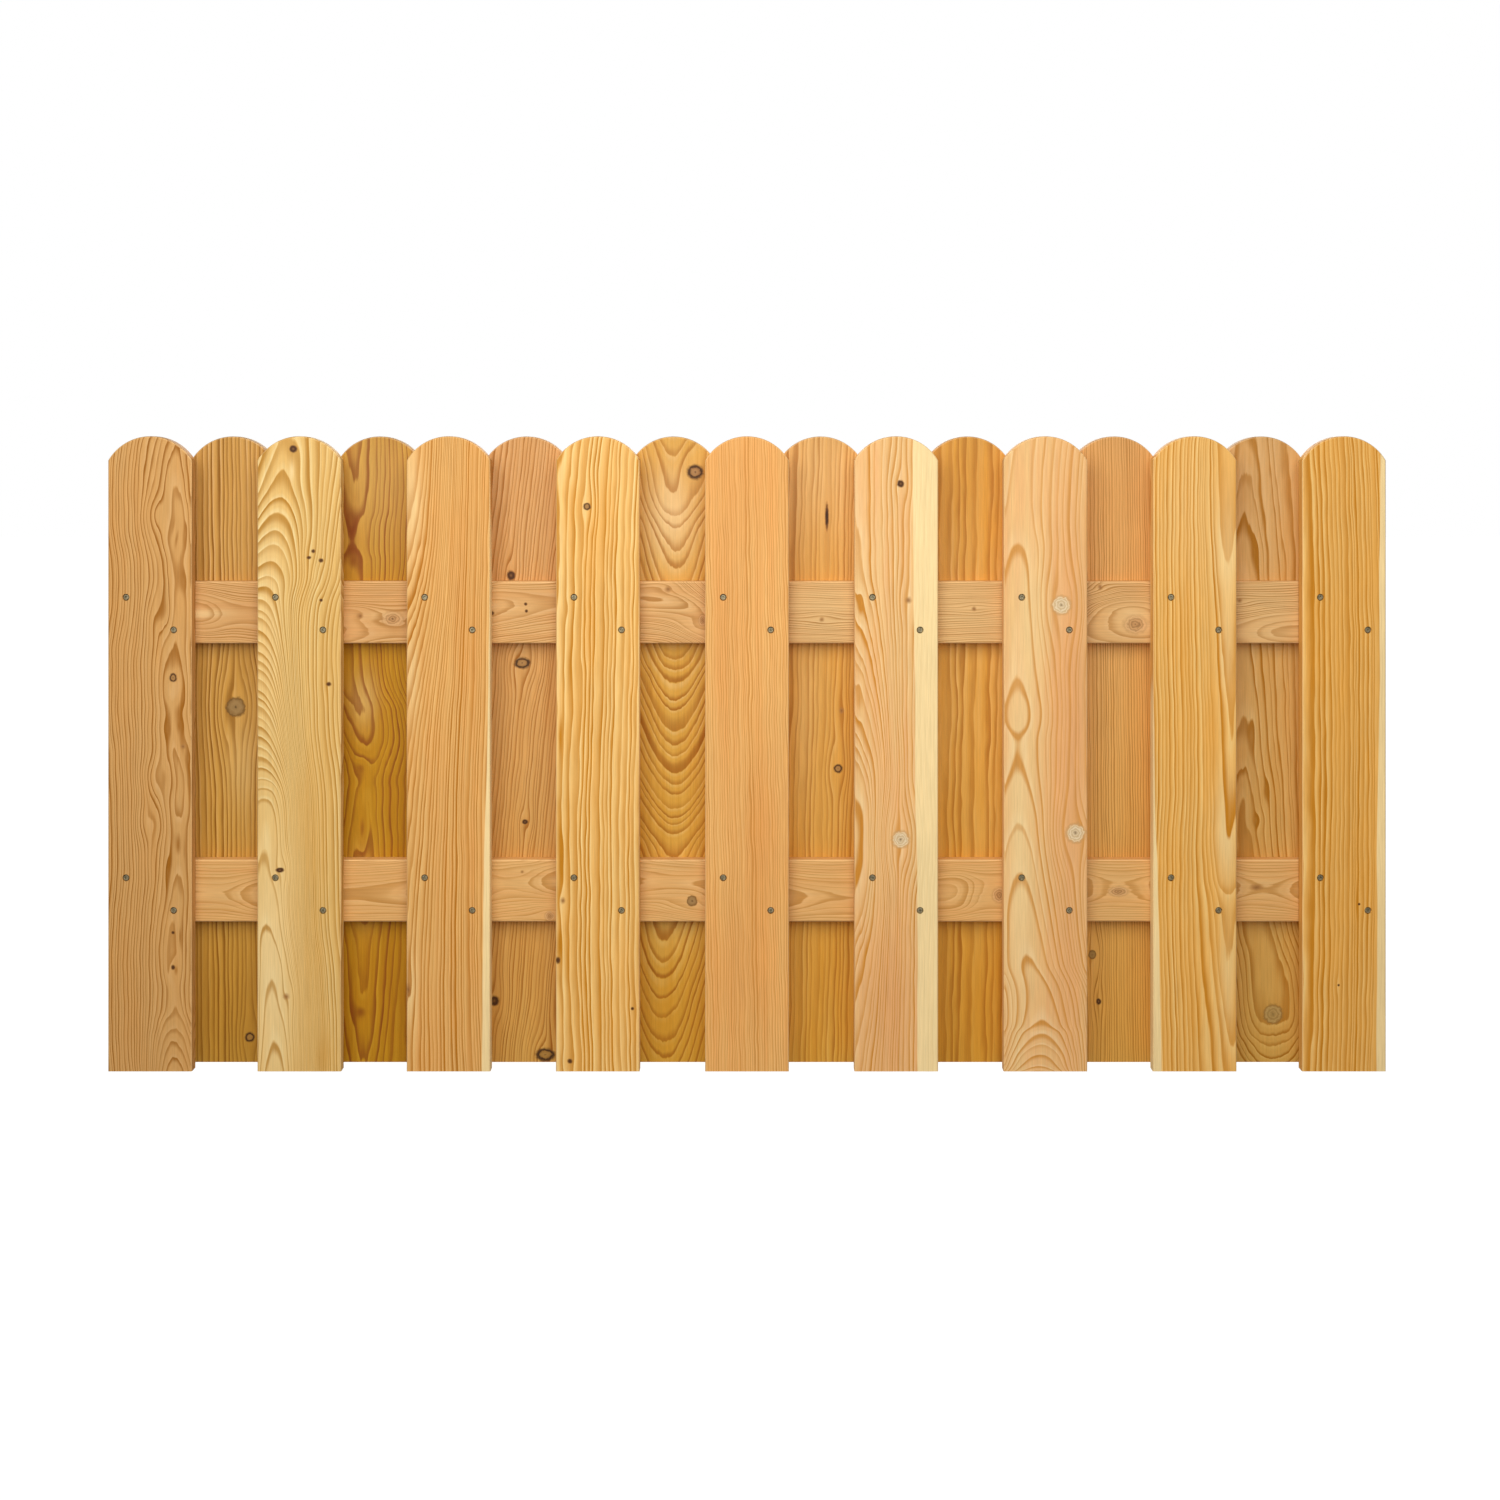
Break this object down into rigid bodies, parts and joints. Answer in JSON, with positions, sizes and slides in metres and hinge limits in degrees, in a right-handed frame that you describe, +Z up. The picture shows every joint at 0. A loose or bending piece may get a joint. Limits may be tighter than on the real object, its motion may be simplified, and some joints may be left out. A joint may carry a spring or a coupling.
{
  "type": "wooden fence panel",
  "caption": "Two-sided wooden fence panel: upright boards with arched heads staggered on both faces of two rails, closing off a garden between posts.",
  "frame": {"origin": "middle of the lower rail's left end face, seen from the front", "axes": "+X along the rails to the right, +Y from the front boards to the back boards, +Z up along the boards"},
  "size_m": [1.8, 0.06, 0.8949],
  "materials": {
    "board_larch": "planed larch, clear matt finish",
    "rail_larch": "planed larch, clear matt finish",
    "screw_steel": "stainless steel, dull"
  },
  "bodies": {
    "root": {"lower_rail": "rail_larch", "upper_rail": "rail_larch", "front_board_1": "board_larch", "front_board_2": "board_larch", "front_board_3": "board_larch", "front_board_4": "board_larch", "front_board_5": "board_larch", "front_board_6": "board_larch", "front_board_7": "board_larch", "front_board_8": "board_larch", "front_board_9": "board_larch", "back_board_1": "board_larch", "back_board_2": "board_larch", "back_board_3": "board_larch", "back_board_4": "board_larch", "back_board_5": "board_larch", "back_board_6": "board_larch", "back_board_7": "board_larch", "back_board_8": "board_larch"}
  },
  "joints": []
}
